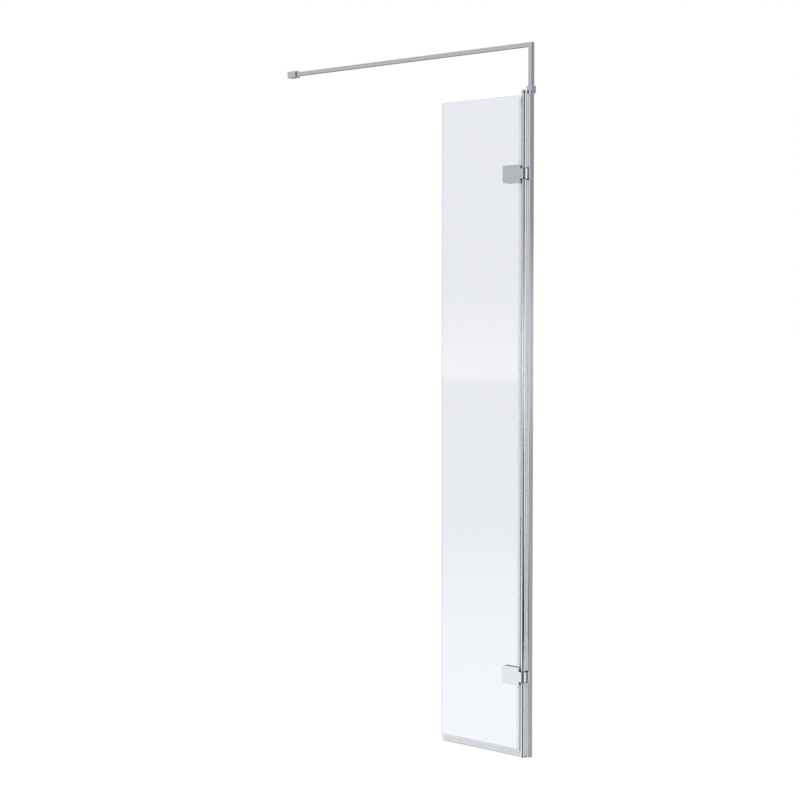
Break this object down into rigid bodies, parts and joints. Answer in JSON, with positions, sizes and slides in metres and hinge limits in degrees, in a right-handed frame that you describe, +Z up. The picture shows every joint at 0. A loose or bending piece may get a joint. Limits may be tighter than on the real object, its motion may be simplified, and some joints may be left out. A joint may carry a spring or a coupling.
{
  "type": "hinged return panel",
  "caption": "Narrow glass return panel on two glass-clamp hinges that turn on a round tube in front of a slim post with a screen channel, braced to a wall by a square arm.",
  "frame": {"origin": "centre of the post's foot, on the floor", "axes": "+Z up along the post; the closed panel and the arm stretch to -X from the post; the panel's outside faces -Y; the channel for the fixed screen opens to +Y"},
  "size_m": [1.0635, 0.0411, 2.1021],
  "materials": {
    "chrome_profile": "bright chrome-effect anodised",
    "chrome_fittings": "polished chrome plate",
    "steel_hardware": "plain stainless",
    "clear_glass": "clear toughened",
    "clear_seal": "clear soft plastic",
    "milky_seal": "translucent white soft plastic",
    "black_rubber": "matt",
    "bush_polymer": "matt"
  },
  "bodies": {
    "post": {"post_profile": "chrome_profile", "channel_walls": "chrome_profile", "foot_plate": "chrome_fittings", "foot_screws": "steel_hardware", "channel_gaskets": "black_rubber", "clamp_strip": "steel_hardware", "channel_set_screws": "steel_hardware", "pivot_tube": "chrome_profile", "tube_plug": "steel_hardware", "tube_seal": "milky_seal", "upper_circlip": "steel_hardware", "lower_circlip": "steel_hardware", "top_cap": "chrome_fittings", "top_cap_screws": "steel_hardware", "arm_socket": "chrome_fittings", "arm_socket_screw": "steel_hardware", "arm_upright": "chrome_fittings", "arm_bar": "chrome_fittings", "corner_key": "steel_hardware", "corner_screws": "steel_hardware", "wall_socket": "chrome_fittings", "wall_base": "steel_hardware", "wall_socket_screws": "steel_hardware"},
    "panel": {"glass_panel": "clear_glass", "bottom_seal": "clear_seal", "edge_seal": "clear_seal", "upper_hinge_body": "chrome_fittings", "upper_back_plate": "chrome_fittings", "upper_front_gasket": "black_rubber", "upper_back_gasket": "black_rubber", "upper_clamp_screws": "steel_hardware", "upper_bushes": "bush_polymer", "lower_hinge_body": "chrome_fittings", "lower_back_plate": "chrome_fittings", "lower_front_gasket": "black_rubber", "lower_back_gasket": "black_rubber", "lower_clamp_screws": "steel_hardware", "lower_bushes": "bush_polymer"}
  },
  "joints": [
    {"name": "panel_swing", "type": "hinge", "parent": "post", "child": "panel", "pos_m": [-0.0042, -0.017, 0.9785], "axis": [0, 0, 1], "range_deg": [0, 90]}
  ]
}
